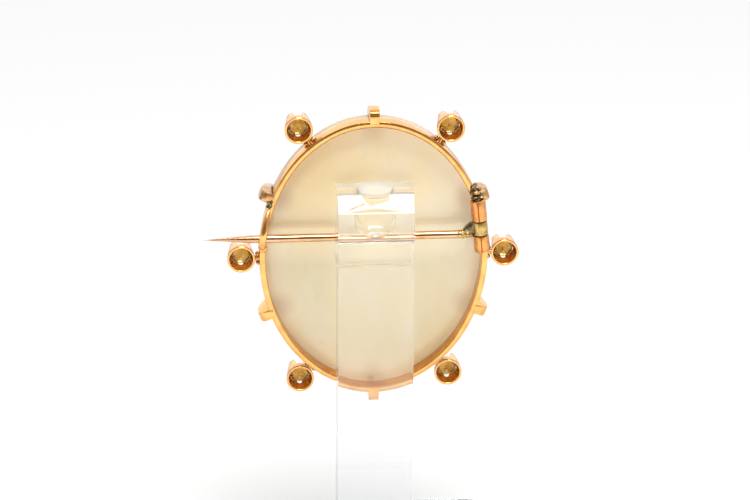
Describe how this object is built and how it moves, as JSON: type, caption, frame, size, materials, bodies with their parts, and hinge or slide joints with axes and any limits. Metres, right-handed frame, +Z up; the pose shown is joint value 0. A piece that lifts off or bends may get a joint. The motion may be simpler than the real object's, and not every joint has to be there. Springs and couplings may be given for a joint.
{
  "type": "cameo brooch on a clear display stand",
  "caption": "Oval cameo brooch in rose gold with claws, round citrines in collets, a hinged pin and a C catch, held by its pin in a clear acrylic stand.",
  "frame": {"origin": "middle of the stand's underside", "axes": "+Z up the stand; the cameo's carved front faces -Y and the brooch's back, with the pin, faces +Y"},
  "size_m": [0.0526, 0.04, 0.0835],
  "materials": {
    "acrylic": "clear polished acrylic",
    "gold": "worn polished rose gold",
    "chalcedony": "polished cloudy stone",
    "citrine": "faceted stone"
  },
  "bodies": {
    "support": {"stand": "acrylic", "pin": "gold", "hinge_rivet": "gold"},
    "brooch": {"frame": "gold", "cameo": "chalcedony", "citrine_1": "citrine", "citrine_2": "citrine", "citrine_3": "citrine", "citrine_4": "citrine", "citrine_5": "citrine", "citrine_6": "citrine"}
  },
  "joints": [
    {"name": "pin_hinge", "type": "hinge", "parent": "support", "child": "brooch", "pos_m": [-0.01742, 0.00115, 0.0633], "axis": [-0.1063, 0, -0.9943], "range_deg": [0, 105]}
  ]
}
